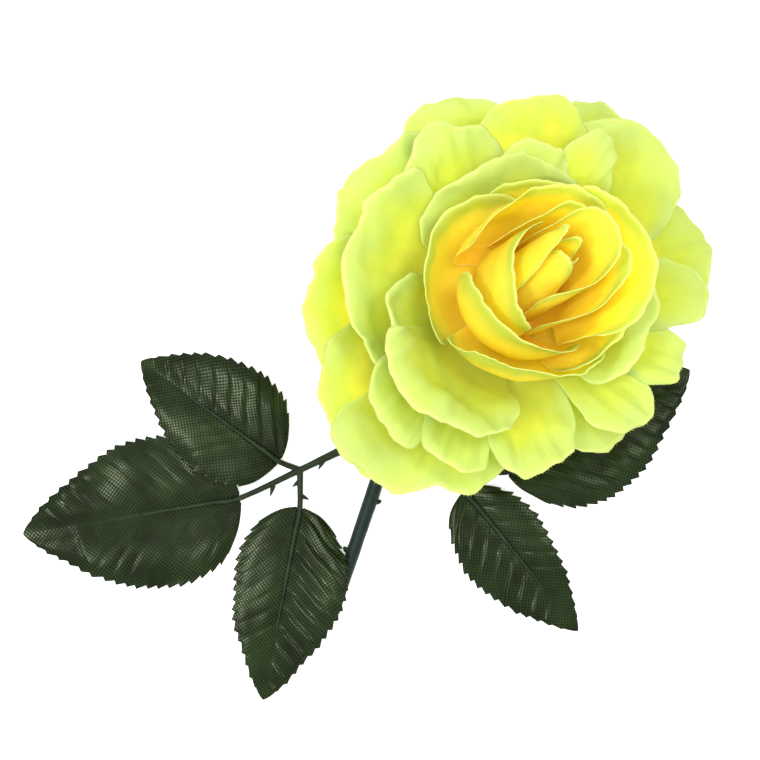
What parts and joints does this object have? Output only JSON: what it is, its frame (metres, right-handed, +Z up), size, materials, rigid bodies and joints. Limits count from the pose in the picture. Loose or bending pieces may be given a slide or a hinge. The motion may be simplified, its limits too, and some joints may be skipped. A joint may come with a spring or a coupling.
{
  "type": "artificial rose",
  "caption": "Yellow artificial rose with a fully open fabric head, a moulded green stem with its wire, and two leaf sprigs, lying flat.",
  "frame": {"origin": "plan middle of the part's box, on the surface that the rose lies on", "axes": "+Z up from that surface; +X to the right across both leaf sprigs; the cut end of the stem points towards -Y"},
  "size_m": [0.1919, 0.1688, 0.073],
  "materials": {
    "petal_fabric": "matte, softly translucent",
    "heart_fabric": "matte, softly translucent",
    "leaf_fabric": "satin",
    "sprig_plastic": "matte",
    "stem_plastic": "matte",
    "core_plastic": "matte",
    "wire_steel": "plain"
  },
  "bodies": {
    "root": {"petal_layer_1": "heart_fabric", "petal_layer_2": "heart_fabric", "petal_layer_3": "heart_fabric", "petal_layer_4": "heart_fabric", "petal_layer_5": "petal_fabric", "petal_layer_6": "petal_fabric", "petal_layer_7": "petal_fabric", "petal_layer_8": "petal_fabric", "bud_core": "core_plastic", "calyx": "sprig_plastic", "stem": "stem_plastic", "stem_wire": "wire_steel", "left_sprig": "sprig_plastic", "right_sprig": "sprig_plastic", "left_side_leaf": "leaf_fabric", "left_end_leaf": "leaf_fabric", "left_low_leaf": "leaf_fabric", "right_side_leaf": "leaf_fabric", "right_end_leaf": "leaf_fabric", "right_top_leaf": "leaf_fabric"}
  },
  "joints": []
}
